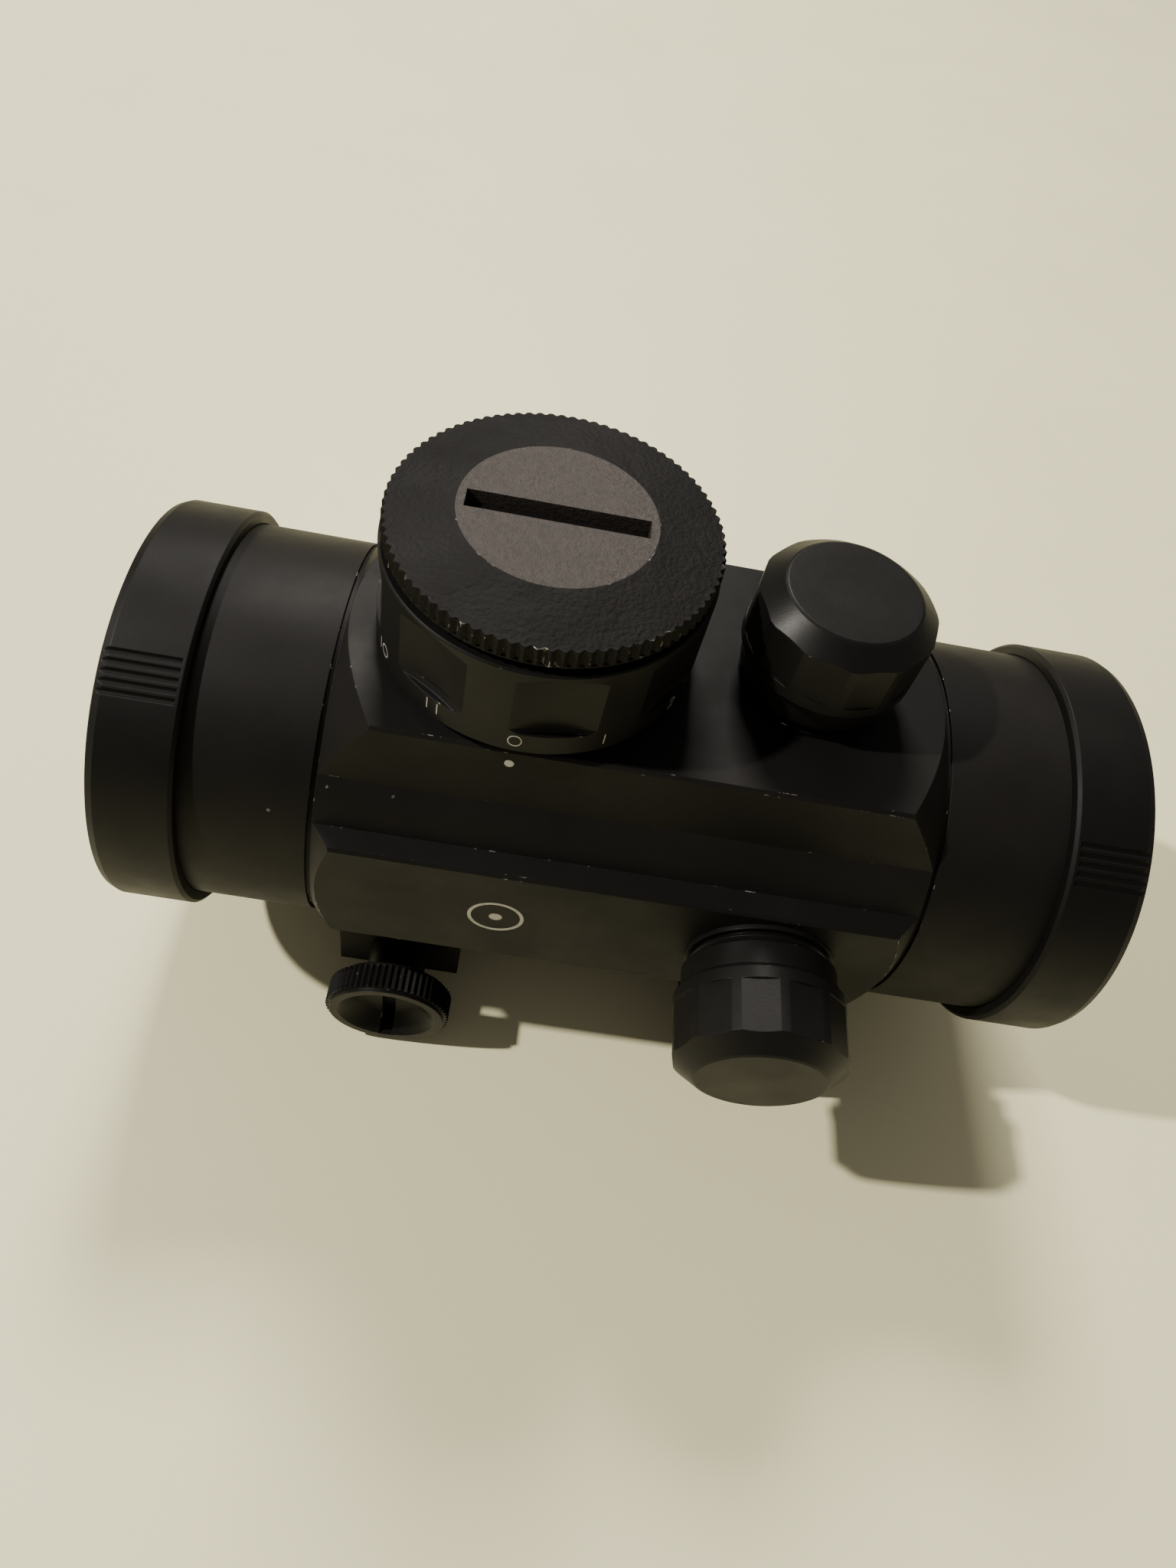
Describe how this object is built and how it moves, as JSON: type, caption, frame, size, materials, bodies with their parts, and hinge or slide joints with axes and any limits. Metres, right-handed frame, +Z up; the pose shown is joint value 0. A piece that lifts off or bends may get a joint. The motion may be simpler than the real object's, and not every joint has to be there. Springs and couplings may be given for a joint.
{
  "type": "tube red dot sight",
  "caption": "Closed tube red dot sight with a rail clamp, capped windage and elevation turrets, a rotary brightness ring and push-on lens covers.",
  "frame": {"origin": "middle of the rail seat, the flat face that rests on the rail", "axes": "+X forward along the tube to the objective end, +Z up through the knob and the elevation turret, -Y to the windage turret and the thumb screws"},
  "size_m": [0.0952, 0.0516, 0.063],
  "materials": {
    "body_black": "matte black anodised, worn edges",
    "ring_black": "satin black anodised",
    "turret_black": "matte black anodised",
    "cap_black": "fine-grained black",
    "disc_grey": "coarse-grained warm grey",
    "cover_black": "matte moulded black",
    "inner_black": "flat black",
    "window_glass": "coated clear glass",
    "reflector_glass": "red reflecting coat",
    "brass": "turned",
    "steel": "bright zinc",
    "spring_steel": "drawn wire",
    "battery_steel": "nickel-plated",
    "rubber": "smooth seal",
    "board_green": "circuit board",
    "holder_plastic": "moulded black",
    "led_red": "clear red epoxy",
    "lead_red": "insulated lead"
  },
  "bodies": {
    "root": {"main_body": "body_black", "objective_window": "window_glass", "objective_retaining_ring": "inner_black", "ocular_window": "window_glass", "ocular_retaining_ring": "inner_black", "return_spring": "spring_steel", "return_spring_plug": "steel", "elevation_bushing": "turret_black", "elevation_dial": "steel", "windage_bushing": "turret_black", "windage_dial": "steel", "battery_housing": "inner_black", "switch_board": "board_green", "battery_contact": "brass", "battery": "battery_steel", "rheostat_clip": "spring_steel", "detent_ball": "steel", "detent_spring": "spring_steel"},
    "objective_cover": {"objective_cover": "cover_black"},
    "ocular_cover": {"ocular_cover": "cover_black"},
    "rheostat": {"rheostat_ring": "ring_black", "rheostat_wiper": "brass"},
    "battery_cap_seal": {"battery_cap_o_ring": "rubber"},
    "battery_cap": {"battery_cap": "cap_black", "battery_cap_disc": "disc_grey"},
    "elevation_cap_seal": {"elevation_gasket": "rubber"},
    "elevation_cap": {"elevation_cap": "turret_black"},
    "windage_cap_seal": {"windage_gasket": "rubber"},
    "windage_cap": {"windage_cap": "turret_black"},
    "elevation_plunger": {"elevation_plunger": "steel"},
    "elevation_screw": {"elevation_screw": "brass"},
    "windage_plunger": {"windage_plunger": "steel"},
    "windage_screw": {"windage_screw": "brass"},
    "gimbal": {"gimbal_ring": "brass"},
    "inner_tube": {"inner_tube": "inner_black", "reflector_lens": "reflector_glass", "reflector_retaining_ring": "inner_black", "emitter_holder": "holder_plastic", "emitter_led": "led_red", "emitter_leads": "lead_red"},
    "rear_jaw": {"rear_jaw": "body_black"},
    "rear_thumb_screw": {"rear_thumb_screw": "turret_black", "rear_screw_clip": "spring_steel"},
    "front_jaw": {"front_jaw": "body_black"},
    "front_thumb_screw": {"front_thumb_screw": "turret_black", "front_screw_clip": "spring_steel"}
  },
  "joints": [
    {"name": "objective_cover_pull", "type": "slide", "parent": "root", "child": "objective_cover", "axis": [1, 0, 0], "range_m": [0, 0.012]},
    {"name": "ocular_cover_pull", "type": "slide", "parent": "root", "child": "ocular_cover", "axis": [-1, 0, 0], "range_m": [0, 0.012]},
    {"name": "brightness_turn", "type": "hinge", "parent": "root", "child": "rheostat", "pos_m": [-0.011, 0, 0.046], "axis": [0, 0, -1], "range_deg": [0, 330]},
    {"name": "battery_cap_travel", "type": "slide", "parent": "root", "child": "battery_cap_seal", "axis": [0, 0, 1], "range_m": [0, 0.003]},
    {"name": "battery_cap_turn", "type": "hinge", "parent": "battery_cap_seal", "child": "battery_cap", "pos_m": [-0.011, 0, 0.052], "axis": [0, 0, 1], "range_deg": [0, 1454.4]},
    {"name": "elevation_cap_travel", "type": "slide", "parent": "root", "child": "elevation_cap_seal", "axis": [0, 0, 1], "range_m": [0, 0.0056]},
    {"name": "elevation_cap_turn", "type": "hinge", "parent": "elevation_cap_seal", "child": "elevation_cap", "pos_m": [0.015, 0, 0.046], "axis": [0, 0, 1], "range_deg": [0, 2545.2]},
    {"name": "windage_cap_travel", "type": "slide", "parent": "root", "child": "windage_cap_seal", "axis": [0, -1, 0], "range_m": [0, 0.0056]},
    {"name": "windage_cap_turn", "type": "hinge", "parent": "windage_cap_seal", "child": "windage_cap", "pos_m": [0.015, -0.025, 0.0215], "axis": [0, -1, 0], "range_deg": [0, 2545.2]},
    {"name": "elevation_travel", "type": "slide", "parent": "root", "child": "elevation_plunger", "axis": [0, 0, 1], "range_m": [-0.0005, 0.0005]},
    {"name": "elevation_turn", "type": "hinge", "parent": "elevation_plunger", "child": "elevation_screw", "pos_m": [0.015, 0, 0.042], "axis": [0, 0, 1], "range_deg": [-363.6, 363.6]},
    {"name": "windage_travel", "type": "slide", "parent": "root", "child": "windage_plunger", "axis": [0, -1, 0], "range_m": [-0.0005, 0.0005]},
    {"name": "windage_turn", "type": "hinge", "parent": "windage_plunger", "child": "windage_screw", "pos_m": [0.015, -0.021, 0.0215], "axis": [0, -1, 0], "range_deg": [-363.6, 363.6]},
    {"name": "inner_pitch", "type": "hinge", "parent": "root", "child": "gimbal", "pos_m": [-0.027, 0, 0.0215], "axis": [0, -1, 0], "range_deg": [-0.69, 0.69], "deforming": ["return_spring"]},
    {"name": "inner_yaw", "type": "hinge", "parent": "gimbal", "child": "inner_tube", "pos_m": [-0.027, 0, 0.0215], "axis": [0, 0, -1], "range_deg": [-0.69, 0.69]},
    {"name": "rear_jaw_travel", "type": "slide", "parent": "root", "child": "rear_jaw", "axis": [0, -1, 0], "range_m": [0, 0.0028]},
    {"name": "rear_screw_turn", "type": "hinge", "parent": "rear_jaw", "child": "rear_thumb_screw", "pos_m": [-0.02, -0.016, -0.0012], "axis": [0, -1, 0], "range_deg": [0, 1454.4]},
    {"name": "front_jaw_travel", "type": "slide", "parent": "root", "child": "front_jaw", "axis": [0, -1, 0], "range_m": [0, 0.0028]},
    {"name": "front_screw_turn", "type": "hinge", "parent": "front_jaw", "child": "front_thumb_screw", "pos_m": [0.02, -0.016, -0.0012], "axis": [0, -1, 0], "range_deg": [0, 1454.4]}
  ],
  "couplings": [
    {"joint": "battery_cap_turn", "follows": "battery_cap_travel", "rad_per_m": 8377.6},
    {"joint": "elevation_cap_turn", "follows": "elevation_cap_travel", "rad_per_m": 7854},
    {"joint": "windage_cap_turn", "follows": "windage_cap_travel", "rad_per_m": 7854},
    {"joint": "elevation_turn", "follows": "elevation_travel", "rad_per_m": 12566},
    {"joint": "windage_turn", "follows": "windage_travel", "rad_per_m": 12566},
    {"joint": "inner_pitch", "follows": "elevation_travel", "rad_per_m": 23.81},
    {"joint": "inner_yaw", "follows": "windage_travel", "rad_per_m": 23.81},
    {"joint": "rear_screw_turn", "follows": "rear_jaw_travel", "rad_per_m": 8976},
    {"joint": "front_screw_turn", "follows": "front_jaw_travel", "rad_per_m": 8976}
  ]
}
